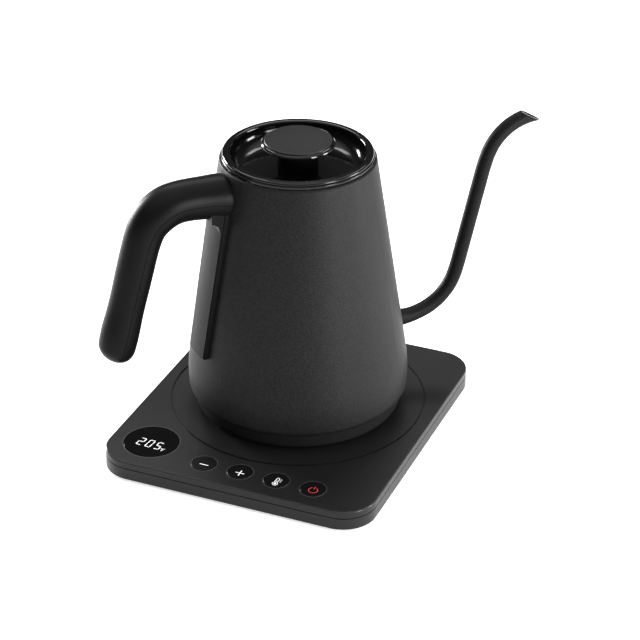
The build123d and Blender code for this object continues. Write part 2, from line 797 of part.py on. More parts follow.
def strip_plane():
    """Upright plane through the axis that faces out along the handle."""
    outward = Vector(*polar(1, HANDLE_AZIMUTH), 0)
    sideways = Vector(*polar(1, HANDLE_AZIMUTH + 90), 0)
    return Plane(origin=(0, 0, 0), x_dir=sideways, z_dir=outward)


def strip_gusset():
    """Hollow fillet between the strip's face and the handle's underside."""
    top_z = STRIP_TOP_Z - 1.0
    inner_s = SHELL_TOP_RADIUS - 1.5
    side_s = SHELL_TOP_RADIUS + SIDE_SLOPE * (SHELL_TOP_Z - GUSSET_CORNER_Z)
    face_s = side_s + STRIP_PROUD
    low = (face_s + SIDE_SLOPE * GUSSET_RADIUS, GUSSET_CORNER_Z - GUSSET_RADIUS)
    far = (face_s + GUSSET_RADIUS + 0.3, GUSSET_CORNER_Z + 0.6)
    bulge = (face_s + 2.1, GUSSET_CORNER_Z - 1.7)
    outward = Vector(*polar(1, HANDLE_AZIMUTH), 0)
    normal = Vector(*polar(1, HANDLE_AZIMUTH - 90), 0)
    edges = [
        ThreePointArc(low, bulge, far),
        Line(far, (far[0], top_z)),
        Line((far[0], top_z), (inner_s, top_z)),
        Line((inner_s, top_z), (inner_s, low[1])),
        Line((inner_s, low[1]), low),
    ]
    profile = Plane(origin=(0, 0, 0), x_dir=outward, z_dir=normal) * make_face(edges)
    return extrude(profile, STRIP_HALF_WIDTH_TOP, both=True)


def handle_mount_cover():
    """Cover down the kettle's side: its face stands a step above its flanks."""
    raised = strip_prism(0) & side_solid(-STRIP_PROUD, 60, 190)
    flange = strip_prism(FLANGE_EXTRA) & side_solid(-FLANGE_PROUD, 60, 190)
    cover = raised + flange + strip_gusset()
    cover -= handle_solid(0.2)
    cover -= side_solid(-BODY_GAP, SHELL_BOTTOM_Z, SHELL_TOP_Z + 8)
    hole = Pos(STRIP_HOLE_SIDEWAYS, STRIP_HOLE_Z, 0) * Cylinder(STRIP_HOLE_RADIUS, 110, align=BOTTOM)
    return cover - strip_plane() * hole


# ---------------------------------------------------------------- lid
def lid_cover():
    """Gloss dish with a rolled flange that rests on the collar."""
    seat_z = COLLAR_TOP_Z + LID_GAP
    edges = [
        Line((0, 0, DISH_FLOOR_Z), (DISH_FLOOR_RADIUS, 0, DISH_FLOOR_Z)),
        ThreePointArc(
            (DISH_FLOOR_RADIUS, 0, DISH_FLOOR_Z),
            (DISH_FLOOR_RADIUS + 5.6, 0, DISH_FLOOR_Z + 3.8),
            (DISH_RIM_RADIUS - 1.0, 0, LID_TOP_Z - 1.4),
        ),
        ThreePointArc(
            (DISH_RIM_RADIUS - 1.0, 0, LID_TOP_Z - 1.4),
            (DISH_RIM_RADIUS - 0.4, 0, LID_TOP_Z - 0.35),
            (DISH_RIM_RADIUS + 0.5, 0, LID_TOP_Z),
        ),
        Line((DISH_RIM_RADIUS + 0.5, 0, LID_TOP_Z), (LID_FLANGE_RADIUS - 1.1, 0, LID_TOP_Z - 0.2)),
        ThreePointArc(
            (LID_FLANGE_RADIUS - 1.1, 0, LID_TOP_Z - 0.2),
            (LID_FLANGE_RADIUS - 0.2, 0, LID_TOP_Z - 0.7),
            (LID_FLANGE_RADIUS, 0, seat_z + 0.4),
        ),
        Line((LID_FLANGE_RADIUS, 0, seat_z + 0.4), (LID_FLANGE_RADIUS - 0.4, 0, seat_z)),
        Line((LID_FLANGE_RADIUS - 0.4, 0, seat_z), (45.5, 0, seat_z)),
        Line((45.5, 0, seat_z), (45.5, 0, 193.2)),
        Line((45.5, 0, 193.2), (42.4, 0, 193.2)),
        Line((42.4, 0, 193.2), (39.6, 0, DISH_FLOOR_Z - DISH_WALL)),
        Line((39.6, 0, DISH_FLOOR_Z - DISH_WALL), (0, 0, DISH_FLOOR_Z - DISH_WALL)),
        Line((0, 0, DISH_FLOOR_Z - DISH_WALL), (0, 0, DISH_FLOOR_Z)),
    ]
    return revolve(make_face(edges), Axis.Z) - disc(1.7, 180, 195)


def lid_gasket():
    """Silicone ring round the plug, with a lip that wipes the collar's sleeve."""
    return turned(
        [(42.6, 189.2), (44.9, 189.2), (45.7, 190.4), (45.7, 191.2), (45.0, 193.1), (42.6, 193.1)]
    )


def lid_underplate():
    plate = turned(
        [
            (0, 187.6),
            (44.8, 187.6),
            (44.8, 189.1),
            (42.5, 189.1),
            (42.5, 191.5),
            (41.7, 191.5),
            (39.9, 189.0),
            (0, 189.0),
        ]
    )
    for a in range(0, 360, 60):
        x, y = polar(33.0, a)
        plate -= disc(2.0, 180, 200, x, y)
    return plate - disc(1.7, 180, 195)


def lid_knob_stem():
    """Hollow neck between the dish and the knob, with a boss for the screw."""
    stem = disc(STEM_RADIUS, DISH_FLOOR_Z, 206.2) - disc(STEM_RADIUS - 2.2, 180, 204.0)
    stem += disc(4.0, DISH_FLOOR_Z, 205.0)
    return stem - disc(1.55, 180, 202.0)


def lid_knob_ring():
    """Gloss rim under the knob's cap."""
    return turned(
        [
            (0, 206.2),
            (21.6, 206.2),
            (23.4, 206.7),
            (24.1, 207.3),
            (KNOB_RADIUS, 208.1),
            (24.2, 208.8),
            (23.4, 209.6),
            (22.9, 209.8),
            (22.35, 209.5),
            (22.35, 207.6),
            (0, 207.6),
        ]
    )


def lid_knob_cap():
    cap = disc(KNOB_CAP_RADIUS, 207.6, KNOB_TOP_Z)
    return fillet(cap.faces().sort_by(Axis.Z)[-1].edges(), 0.6)


def lid_screw():
    return countersunk_screw(0, 0, 186.0, 3.6, 1.5, 1.6, 201.0)


# ---------------------------------------------------------------- write the nodes
PARTS = {
    "base_top_shell": base_top_shell,
    "base_bottom_shell": base_bottom_shell,
    "base_feet": base_feet,
    "base_screws": base_screws,
    "base_connector": base_connector,
    "connector_contacts": connector_contacts,
    "display_window": display_window,
    "display_module": display_module,
    "control_board": control_board,
    "tact_switches": tact_switches,
    "power_board": power_board,
    "power_parts": power_parts,
    "ribbon_cable": ribbon_cable,
    "cord_gland": cord_gland,
    "swivel_ring": swivel_ring,
    "kettle_shell": kettle_shell,
    "rim_collar": rim_collar,
    "spout_tube": spout_tube,
    "heating_plate": heating_plate,
    "heat_spreader": heat_spreader,
    "heating_element": heating_element,
    "heater_leads": heater_leads,
    "temperature_sensor": temperature_sensor,
    "sensor_seal": sensor_seal,
    "boil_dry_cutout": boil_dry_cutout,
    "bottom_cover": bottom_cover,
    "bottom_cover_screws": bottom_cover_screws,
    "kettle_feet": kettle_feet,
    "kettle_connector": kettle_connector,
    "connector_blades": connector_blades,
    "handle_bracket": handle_bracket,
    "handle_outer_shell": handle_outer_shell,
    "handle_inner_shell": handle_inner_shell,
    "handle_mount_cover": handle_mount_cover,
    "handle_screws": handle_screws,
    "lid_cover": lid_cover,
    "lid_underplate": lid_underplate,
    "lid_gasket": lid_gasket,
    "lid_knob_stem": lid_knob_stem,
    "lid_knob_ring": lid_knob_ring,
    "lid_knob_cap": lid_knob_cap,
    "lid_screw": lid_screw,
}


def main():
    os.makedirs("parts", exist_ok=True)
    for name, make in PARTS.items():
        export_step(make(), f"parts/{name}.step")
    for number, name in enumerate(BUTTON_NAMES):
        export_step(button(number), f"parts/button_{name}.step")


main()
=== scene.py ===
import math

import bmesh
import bpy
from mathutils import Matrix, Vector


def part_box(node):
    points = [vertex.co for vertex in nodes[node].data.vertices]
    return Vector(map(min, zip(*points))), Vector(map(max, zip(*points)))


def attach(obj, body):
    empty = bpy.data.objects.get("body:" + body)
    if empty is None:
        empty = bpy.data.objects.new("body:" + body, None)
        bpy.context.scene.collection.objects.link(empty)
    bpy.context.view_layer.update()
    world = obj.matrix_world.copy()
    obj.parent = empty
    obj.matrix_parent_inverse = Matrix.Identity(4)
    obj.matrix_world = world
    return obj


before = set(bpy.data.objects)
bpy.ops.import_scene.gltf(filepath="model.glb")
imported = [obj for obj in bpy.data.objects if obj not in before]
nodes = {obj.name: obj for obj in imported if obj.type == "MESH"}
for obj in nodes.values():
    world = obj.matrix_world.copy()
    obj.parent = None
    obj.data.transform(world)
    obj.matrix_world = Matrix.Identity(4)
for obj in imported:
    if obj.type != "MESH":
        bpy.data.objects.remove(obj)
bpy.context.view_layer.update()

MM = 0.001
UPRIGHT = Vector((0.0, 0.0, 1.0))

# camera: the point it looks at, and where it stands round that point
CAMERA_TARGET = Vector((0.01261, 0.00822, 0.07448))
CAMERA_AZIMUTH = 22.2515
CAMERA_ELEVATION = 29.9147
CAMERA_ROLL = 0.309
CAMERA_DISTANCE = 1.5825
CAMERA_LENS = 131.6
CAMERA_SENSOR = 36.0
CAMERA_NEAR = 0.05
CAMERA_FAR = 50.0

# studio: the floor, and the sky's brightness at four heights, each the sine of an elevation
FLOOR_RADIUS = 6.0
FLOOR_COLOUR = (0.88, 0.88, 0.88)
FLOOR_GLOW = 0.6
SKY_STOPS = ((0.0, 0.03), (0.55, 0.05), (0.8, 0.7), (1.0, 1.0))
SKY_STRENGTH = 2.0

# softboxes: name, azimuth and elevation in degrees, distance, width and height in metres, watts.
# The low ones stand off the square views, so that no view from the front, back or sides mirrors
# one in the deck.
SOFTBOX_TARGET = Vector((0.0, 0.0, 0.1))
SOFTBOXES = (
    ("key_front", 70, 8, 1.4, 0.36, 0.55, 21.0),
    ("key_right", 110, 8, 1.4, 0.36, 0.55, 20.0),
    ("edge_left", -110, 8, 1.4, 0.36, 0.55, 36.0),
    ("back_top", 204, 51, 1.5, 1.3, 0.36, 10.0),
)

# noise lies mostly between these two values
NOISE_LOW = 0.3
NOISE_HIGH = 0.7

# slow changes and orange peel on a grained surface, as multiples of its grain's size and depth
SLOW_SIZE = 60
PEEL_SIZE = 6
PEEL_DEPTH = 0.8

# grained finishes: colour, roughness, grain size and depth in metres, how much the flecks differ
# from the colour, and how strong the shine is
BASE_BLACK = ((0.008, 0.008, 0.0082), 0.36, 0.0005, 0.00002, 0.12, 0.21)
GRAINED = {
    "base_black": BASE_BLACK,
    "handle_black": ((0.0035, 0.0035, 0.0036), 0.4, 0.0005, 0.00002, 0.12, 0.08),
    "cover_black": ((0.009, 0.009, 0.009), 0.5, 0.0008, 0.00004, 0.12, 0.05),
    "button_black": ((0.004, 0.004, 0.0042), 0.3, 0.0004, 0.00001, 0.12, 0.1),
    "cap_satin": ((0.011, 0.011, 0.0112), 0.34, 0.0004, 0.00001, 0.12, 0.2),
    # a lighter colour, painted as the highlight on the edges of the deck's holes
    "edge_line": ((0.06, 0.06, 0.061), 0.3, 0.0005, 0.00001, 0.12, 0.5),
    "rubber_black": ((0.02, 0.02, 0.02), 0.8, 0.0012, 0.00008, 0.2, 0.5),
    "silicone_grey": ((0.3, 0.3, 0.31), 0.6, 0.0015, 0.00003, 0.06, 0.5),
    "component_grey": ((0.12, 0.12, 0.125), 0.5, 0.0009, 0.00003, 0.12, 0.5),
    "connector_white": ((0.62, 0.61, 0.58), 0.45, 0.0009, 0.00002, 0.04, 0.5),
}

# polished mouldings: colour, roughness, how strong the shine is, and the clear coat
POLISHED = {
    "gloss_black": ((0.003, 0.003, 0.0032), 0.12, 0.26, 0.05),
    "lens_smoke": ((0.003, 0.003, 0.0035), 0.1, 0.1, 0.0),
}
FLECK_SIZE = 0.0006
HAZE_SIZE = 0.009
FLOW_SIZE = 0.012
FLOW_DEPTH = 0.00001

# bare metals: colour, roughness, and grain size and depth in metres
METALS = {
    "steel": ((0.6, 0.6, 0.59), 0.22, 0.0004, 0.000004),
    "aluminium": ((0.62, 0.62, 0.62), 0.42, 0.0015, 0.00004),
    "contact_brass": ((0.72, 0.5, 0.22), 0.28, 0.0004, 0.000004),
}

# lit legends: colour and brightness
LIT = {
    "legend_white": ((0.85, 0.86, 0.84), 0.65),
    "legend_red": ((0.5, 0.035, 0.04), 0.28),
}
LIT_FLECK_SIZE = 0.0012

# circuit boards: the solder mask, and the lighter lines over the tracks
MASK_GREEN = (0.008, 0.1, 0.035)
TRACK_GREEN = (0.03, 0.22, 0.08)
TRACK_SCALE = 120.0
TRACK_DEPTH = 0.00003

# powder coat of the body and the spout; the spout's is darker, as painted shade, and duller
COAT_COLOUR = (0.0085, 0.0085, 0.0087)
COAT_ROUGHNESS = 0.5
COAT_GRAIN = 0.0011
COAT_DEPTH = 0.00009
COAT_SPREAD = 0.35
COAT_SHINE = 0.11
SPOUT_SHADE_AND_DULLNESS = 0.65

# steel where the coat is left off: inside the body, and on the spout's mouth. Its drawn grain is
# finer along z.
INSIDE_STEEL = ((0.62, 0.61, 0.59), 0.25)
MOUTH_STEEL = ((0.97, 0.97, 0.96), 0.3)
DRAWN_GRAIN = 0.0004
DRAWN_STRETCH = (1.0, 1.0, 12.0)

# the deck's rubbed and highlighted edge: how upright its normal is, from least to most, and its
# look
EDGE_UPRIGHT = (0.2, 0.95)
# the edge's lighter colour is a painted highlight; its lower roughness is where it is rubbed
EDGE_HIGHLIGHT_COLOUR = (0.019, 0.019, 0.0193)
EDGE_ROUGHNESS = 0.24

# the spout's slanted mouth: which way its cut face looks, how nearly a surface has to look that
# way to count as cut, and how far below the spout's highest point the cut reaches
SPOUT_AZIMUTH = 47.3
MOUTH_LEAN = 30.3
MOUTH_LIKENESS = 0.985
MOUTH_DEPTH = 18.3 * MM

# legends and rings: how thick they are, and how far a legend stands off its surface
LEGEND_THICKNESS = 0.04 * MM
LEGEND_LIFT = 0.01 * MM

# symbols on the buttons
ICON_OFFSET = Vector((0.7, -1.5)) * MM
ICON_STROKE = 0.52 * MM
FINE_STROKE = 0.32 * MM
MINUS_REACH = 3.1 * MM
PLUS_REACH = 3.0 * MM
POWER_RADIUS = 3.0 * MM
POWER_BAR = (1.4 * MM, 4.2 * MM)
POWER_GAP = 56

# the display's row of digits, with a small degree sign and F after it
DIGITS = "205"
DIGIT_HEIGHT = 8.6 * MM
DIGIT_WIDTH = 4.0 * MM
DIGIT_PITCH = 6.6 * MM
DIGIT_STROKE = 0.55 * MM
DIGIT_GAP = 0.12 * MM
DIGIT_LEAN = 0.07
ROW_TURN = -3.0
ROW_OFFSET = Vector((0.0, -2.4)) * MM
UNIT_HEIGHT = 2.9 * MM
UNIT_DROP = 0.5 * MM
UNIT_STROKE = 0.32 * MM
UNIT_STEM = 2.3 * MM
UNIT_TOP_ARM = 1.6 * MM
UNIT_MIDDLE_ARM = 1.2 * MM
DEGREE_RIGHT = 1.2 * MM
DEGREE_DROP = 0.3 * MM
DEGREE_RADIUS = 0.32 * MM
DEGREE_STROKE = 0.2 * MM

# the fine lighter ring, a painted highlight, round the display and round each button's hole in the
# deck
DECK_HOLES = ("display_window", "button_minus", "button_plus", "button_temperature", "button_power")
RING_WIDTH = 0.32 * MM
RING_OUTSIDE = 0.5 * MM
BUTTON_FLANGE = 1.3 * MM


# ---------------------------------------------------------------- camera and studio

def spherical(azimuth, elevation):
    """Unit vector towards an azimuth and elevation; azimuth 0 is the front, -Y, and 90 is +X."""
    turn = math.radians(azimuth)
    rise = math.radians(elevation)
    flat = math.cos(rise)
    return Vector((math.sin(turn) * flat, -math.cos(turn) * flat, math.sin(rise)))


def aimed(place, target, roll=0.0):
    """Matrix of an object at place whose -Z looks at target, turned by roll degrees about it."""
    back = (place - target).normalized()
    right = UPRIGHT.cross(back).normalized()
    up = back.cross(right)
    turn = Matrix((right, up, back)).transposed().to_4x4()
    return Matrix.Translation(place) @ turn @ Matrix.Rotation(math.radians(roll), 4, "Z")


def make_camera():
    data = bpy.data.cameras.new("camera")
    data.lens = CAMERA_LENS
    data.sensor_width = CAMERA_SENSOR
    data.clip_start = CAMERA_NEAR
    data.clip_end = CAMERA_FAR
    camera = bpy.data.objects.new("camera", data)
    place = CAMERA_TARGET + spherical(CAMERA_AZIMUTH, CAMERA_ELEVATION) * CAMERA_DISTANCE
    camera.matrix_world = aimed(place, CAMERA_TARGET, CAMERA_ROLL)
    bpy.context.scene.collection.objects.link(camera)
    bpy.context.scene.camera = camera


def make_softbox(name, azimuth, elevation, distance, width, height, power):
    """A rectangular area light that faces the object."""
    data = bpy.data.lights.new(name, "AREA")
    data.shape = "RECTANGLE"
    data.size = width
    data.size_y = height
    data.energy = power
    light = bpy.data.objects.new(name, data)
    place = SOFTBOX_TARGET + spherical(azimuth, elevation) * distance
    light.matrix_world = aimed(place, SOFTBOX_TARGET)
    bpy.context.scene.collection.objects.link(light)


def set_ramp(ramp, stops):
    """Gives a colour ramp these stops, each a place and a colour."""
    while len(ramp.elements) < len(stops):
        ramp.elements.new(1.0)
    for element, (place, colour) in zip(ramp.elements, stops):
        element.position = place
        element.color = (*colour, 1.0)


def make_sky():
    """Grey sky, dark at the horizon and bright overhead."""
    world = bpy.data.worlds.new("sky")
    world.use_nodes = True
    tree = world.node_tree
    direction = tree.nodes.new("ShaderNodeTexCoord").outputs["Generated"]
    parts = tree.nodes.new("ShaderNodeSeparateXYZ")
    ramp = tree.nodes.new("ShaderNodeValToRGB")
    set_ramp(ramp.color_ramp, [(rise, (level, level, level)) for rise, level in SKY_STOPS])
    background = tree.nodes["Background"]
    background.inputs["Strength"].default_value = SKY_STRENGTH
    tree.links.new(direction, parts.inputs["Vector"])
    tree.links.new(parts.outputs["Z"], ramp.inputs["Fac"])
    tree.links.new(ramp.outputs["Color"], background.inputs["Color"])
    bpy.context.scene.world = world


def make_floor():
    shape = bmesh.new()
    bmesh.ops.create_circle(shape, cap_ends=True, radius=FLOOR_RADIUS, segments=96)
    mesh = bpy.data.meshes.new("floor")
    shape.to_mesh(mesh)
    shape.free()
    floor = bpy.data.objects.new("floor", mesh)
    bpy.context.scene.collection.objects.link(floor)
    mesh.materials.append(floor_finish().material)


def make_studio():
    bpy.context.scene.view_settings.view_transform = "Standard"
    make_sky()
    for values in SOFTBOXES:
        make_softbox(*values)
    make_floor()


# ---------------------------------------------------------------- materials

class Finish:
    """A node material on the Principled shader, textured by the object's place in metres."""

    def __init__(
        self, name, colour, roughness, metallic=0.0, specular=0.5, coat=0.0, coat_roughness=0.1
    ):
        self.name = name
        self.material = bpy.data.materials.new(name)
        self.material.use_nodes = True
        self.tree = self.material.node_tree
        self.shader = self.tree.nodes["Principled BSDF"]
        self.shader.inputs["Base Color"].default_value = (*colour, 1.0)
        self.shader.inputs["Roughness"].default_value = roughness
        self.shader.inputs["Metallic"].default_value = metallic
        self.shader.inputs["Specular IOR Level"].default_value = specular
        self.shader.inputs["Coat Weight"].default_value = coat
        self.shader.inputs["Coat Roughness"].default_value = coat_roughness
        coordinates = self.tree.nodes.new("ShaderNodeTexCoord")
        self.place = coordinates.outputs["Object"]
        self.normal = coordinates.outputs["Normal"]

    def feed(self, value, socket):
        """Links an output to a socket, or sets the socket to a number or vector."""
        if isinstance(value, bpy.types.NodeSocket):
            self.tree.links.new(value, socket)
        else:
            socket.default_value = value

    def feeding(self, name):
        """The output that is linked to the shader's input of that name."""
        return self.shader.inputs[name].links[0].from_socket

    def glow(self, colour, strength):
        self.shader.inputs["Emission Color"].default_value = (*colour, 1.0)
        self.shader.inputs["Emission Strength"].default_value = strength

    def stretched(self, scale):
        """The place with each axis scaled."""
        node = self.tree.nodes.new("ShaderNodeMapping")
        node.inputs["Scale"].default_value = scale
        self.feed(self.place, node.inputs["Vector"])
        return node.outputs["Vector"]

    def noise(self, size, detail=2.0, place=None):
        """Noise from 0 to 1 whose lumps are about size metres across."""
        node = self.tree.nodes.new("ShaderNodeTexNoise")
        node.inputs["Scale"].default_value = 1.0 / size
        node.inputs["Detail"].default_value = detail
        self.feed(place or self.place, node.inputs["Vector"])
        return node.outputs["Fac"]

    def ranged(self, noise, low, high):
        """Noise spread over the range from low to high."""
        node = self.tree.nodes.new("ShaderNodeMapRange")
        node.inputs["From Min"].default_value = NOISE_LOW
        node.inputs["From Max"].default_value = NOISE_HIGH
        node.inputs["To Min"].default_value = low
        node.inputs["To Max"].default_value = high
        self.feed(noise, node.inputs["Value"])
        return node.outputs["Result"]

    def colours(self, value, *stops):
        """A colour ramp over value; each stop is (place, colour)."""
        node = self.tree.nodes.new("ShaderNodeValToRGB")
        set_ramp(node.color_ramp, stops)
        self.feed(value, node.inputs["Fac"])
        self.feed(node.outputs["Color"], self.shader.inputs["Base Color"])

    def roughness(self, noise, low, high):
        self.feed(self.ranged(noise, low, high), self.shader.inputs["Roughness"])

    def vectors(self, operation, first, second):
        """The node of a vector operation between two values, each an output or a vector."""
        node = self.tree.nodes.new("ShaderNodeVectorMath")
        node.operation = operation
        self.feed(first, node.inputs[0])
        self.feed(second, node.inputs[1])
        return node

    def along(self, vector, direction):
        """How far a vector points along a direction."""
        return self.vectors("DOT_PRODUCT", vector, direction).outputs["Value"]

    def numbers(self, operation, first, second):
        """An operation between two numbers, each an output or a fixed one."""
        node = self.tree.nodes.new("ShaderNodeMath")
        node.operation = operation
        self.feed(first, node.inputs[0])
        self.feed(second, node.inputs[1])
        return node.outputs["Value"]

    def mixed(self, mask, low, high):
        """A number that goes from low to high with the mask, each an output or a fixed one."""
        node = self.tree.nodes.new("ShaderNodeMix")
        node.data_type = "FLOAT"
        self.feed(mask, node.inputs[0])
        self.feed(low, node.inputs[2])
        self.feed(high, node.inputs[3])
        return node.outputs[0]

    def recoloured(self, mask, colour):
        """Another colour wherever the mask is 1."""
        node = self.tree.nodes.new("ShaderNodeMix")
        node.data_type = "RGBA"
        self.feed(mask, node.inputs[0])
        self.feed(self.feeding("Base Color"), node.inputs[6])
        self.feed((*colour, 1.0), node.inputs[7])
        self.feed(node.outputs[2], self.shader.inputs["Base Color"])

    def roughened(self, mask, roughness):
        """Another roughness wherever the mask is 1."""
        mixed = self.mixed(mask, self.feeding("Roughness"), roughness)
        self.feed(mixed, self.shader.inputs["Roughness"])

    def bare_steel(self, mask, colour, roughness):
        """Drawn steel instead of the paint wherever the mask is 1."""
        lines = self.noise(DRAWN_GRAIN, 3.0, self.stretched(DRAWN_STRETCH))
        self.recoloured(mask, colour)
        self.feed(mask, self.shader.inputs["Metallic"])
        self.roughened(mask, self.ranged(lines, roughness * 0.8, roughness * 1.3))

    def bump(self, height, depth, below=None):
        """A bump of that depth in metres, on top of an earlier one."""
        node = self.tree.nodes.new("ShaderNodeBump")
        node.inputs["Distance"].default_value = depth
        self.feed(height, node.inputs["Height"])
        if below:
            self.feed(below, node.inputs["Normal"])
        self.feed(node.outputs["Normal"], self.shader.inputs["Normal"])
        return node.outputs["Normal"]


def shade(colour, factor):
    """The colour with each channel multiplied by factor."""
    return tuple(channel * factor for channel in colour)


def floor_finish():
    finish = Finish("studio_floor", FLOOR_COLOUR, 0.9, specular=0.2)
    mottle = finish.noise(0.4)
    dark = shade(FLOOR_COLOUR, 0.99)
    finish.colours(mottle, (NOISE_LOW, dark), (NOISE_HIGH, FLOOR_COLOUR))
    finish.glow((1.0, 1.0, 1.0), FLOOR_GLOW)
    return finish


def grained(name, colour, roughness, grain, depth, spread, specular):
    """Moulded or painted surface: grain in the bump, flecks, and slow changes of roughness."""
    finish = Finish(name, colour, roughness, specular=specular)
    fine = finish.noise(grain, 3.0)
    slow = finish.noise(grain * SLOW_SIZE)
    dark = shade(colour, 1 - spread)
    light = shade(colour, 1 + spread)
    finish.colours(fine, (0.35, dark), (0.65, light))
    finish.roughness(slow, roughness * 0.94, roughness * 1.06)
    peel = finish.bump(finish.noise(grain * PEEL_SIZE, 1.0), depth * PEEL_DEPTH)
    finish.bump(fine, depth, below=peel)
    return finish


def powder_coat(name, factor=1.0):
    """Fine textured black powder coat; a factor under 1 darkens it as painted shade and dulls it.
    """
    colour = shade(COAT_COLOUR, factor)
    shine = COAT_SHINE * factor
    return grained(name, colour, COAT_ROUGHNESS, COAT_GRAIN, COAT_DEPTH, COAT_SPREAD, shine)


def deck_plastic():
    """The base's moulding; its rounded edges rubbed smooth and painted lighter as a highlight."""
    finish = grained("base_black_deck", *BASE_BLACK)
    upright = finish.along(finish.normal, UPRIGHT)
    above = finish.numbers("GREATER_THAN", upright, EDGE_UPRIGHT[0])
    below = finish.numbers("LESS_THAN", upright, EDGE_UPRIGHT[1])
    edge_rub_and_highlight = finish.numbers("MULTIPLY", above, below)
    # painted highlight: the leaning edge gets a lighter colour
    finish.recoloured(edge_rub_and_highlight, EDGE_HIGHLIGHT_COLOUR)
    finish.roughened(edge_rub_and_highlight, EDGE_ROUGHNESS)
    return finish


def shell_paint():
    """Powder coat outside, bare steel inside."""
    finish = powder_coat("body_paint_outside")
    outwards = finish.vectors("MULTIPLY", finish.place, (1.0, 1.0, 0.0)).outputs["Vector"]
    facing = finish.along(finish.normal, outwards)
    finish.bare_steel(finish.numbers("LESS_THAN", facing, 0.0), *INSIDE_STEEL)
    return finish


def spout_paint():
    """Powder coat, with bare steel on the front right half of the mouth's cut face and the coat
    left on its other half as painted shade.
    """
    # the spout's coat is darkened as painted shade, and made duller
    finish = powder_coat("body_paint_spout", SPOUT_SHADE_AND_DULLNESS)
    azimuth = math.radians(SPOUT_AZIMUTH)
    lean = math.radians(MOUTH_LEAN)
    outward = Vector((math.cos(azimuth), math.sin(azimuth), 0.0))
    face = outward * math.sin(lean) + UPRIGHT * math.cos(lean)
    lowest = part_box("spout_tube")[1].z - MOUTH_DEPTH
    facing = finish.along(finish.normal, face)
    aside = finish.along(finish.place, outward.cross(UPRIGHT))
    rise = finish.along(finish.place, UPRIGHT)
    cut = finish.numbers("GREATER_THAN", facing, MOUTH_LIKENESS)
    # the cut face's other half keeps the dark coat: painted shade where that rim looks dark
    near = finish.numbers("MULTIPLY", cut, finish.numbers("GREATER_THAN", aside, 0.0))
    high = finish.numbers("GREATER_THAN", rise, lowest)
    bare = finish.numbers("MULTIPLY", near, high)
    finish.bare_steel(bare, *MOUTH_STEEL)
    return finish


def polished(name, colour, roughness, specular, coat):
    """Polished moulding: nearly smooth, with faint flow marks and handling haze."""
    finish = Finish(name, colour, roughness, specular=specular, coat=coat, coat_roughness=0.05)
    haze = finish.noise(HAZE_SIZE, 4.0)
    flecks = finish.noise(FLECK_SIZE)
    finish.colours(flecks, (NOISE_LOW, shade(colour, 0.9)), (NOISE_HIGH, shade(colour, 1.1)))
    finish.roughness(haze, roughness * 0.85, roughness * 1.25)
    finish.bump(finish.noise(FLOW_SIZE, 1.0), FLOW_DEPTH)
    return finish


def metal(name, colour, roughness, grain, depth):
    """Bare metal with a fine grain."""
    finish = Finish(name, colour, roughness, metallic=1.0)
    lines = finish.noise(grain, 3.0)
    finish.colours(lines, (NOISE_LOW, shade(colour, 0.88)), (NOISE_HIGH, shade(colour, 1.06)))
    finish.roughness(lines, roughness * 0.75, roughness * 1.3)
    finish.bump(lines, depth)
    return finish


def circuit_board(name):
    """Green solder mask over copper tracks."""
    finish = Finish(name, MASK_GREEN, 0.35, coat=0.4, coat_roughness=0.15)
    node = finish.tree.nodes.new("ShaderNodeTexBrick")
    node.inputs["Scale"].default_value = TRACK_SCALE
    finish.feed(finish.place, node.inputs["Vector"])
    tracks = node.outputs["Fac"]
    finish.colours(tracks, (0.0, MASK_GREEN), (1.0, TRACK_GREEN))
    finish.roughness(finish.noise(0.002), 0.3, 0.4)
    finish.bump(tracks, TRACK_DEPTH)
    return finish


def glowing(name, colour, strength):
    """A lit display segment with slightly uneven brightness."""
    finish = Finish(name, colour, 0.4)
    flecks = finish.noise(LIT_FLECK_SIZE)
    finish.colours(flecks, (NOISE_LOW, shade(colour, 0.92)), (NOISE_HIGH, colour))
    finish.glow(colour, strength)
    return finish


def make_finishes():
    """One material for each slot of the record, and edge_line for the lighter rings in the deck,
    which paint a highlight.
    """
    made = [powder_coat("body_paint"), circuit_board("board_green")]
    tables = ((grained, GRAINED), (polished, POLISHED), (metal, METALS), (glowing, LIT))
    for make, table in tables:
        made += [make(name, *values) for name, values in table.items()]
    return {finish.name: finish.material for finish in made}


def dress_cad_nodes(finishes):
    """Gives each CAD node the finish of its slot, and three nodes their own variant of it."""
    special = {
        "kettle_shell": shell_paint().material,
        "spout_tube": spout_paint().material,
        "base_top_shell": deck_plastic().material,
    }
    for name, node in nodes.items():
        slot_name = node.data.materials[0].name.split(".")[0]
        node.data.materials[0] = special.get(name, finishes[slot_name])


# ---------------------------------------------------------------- legends and rings

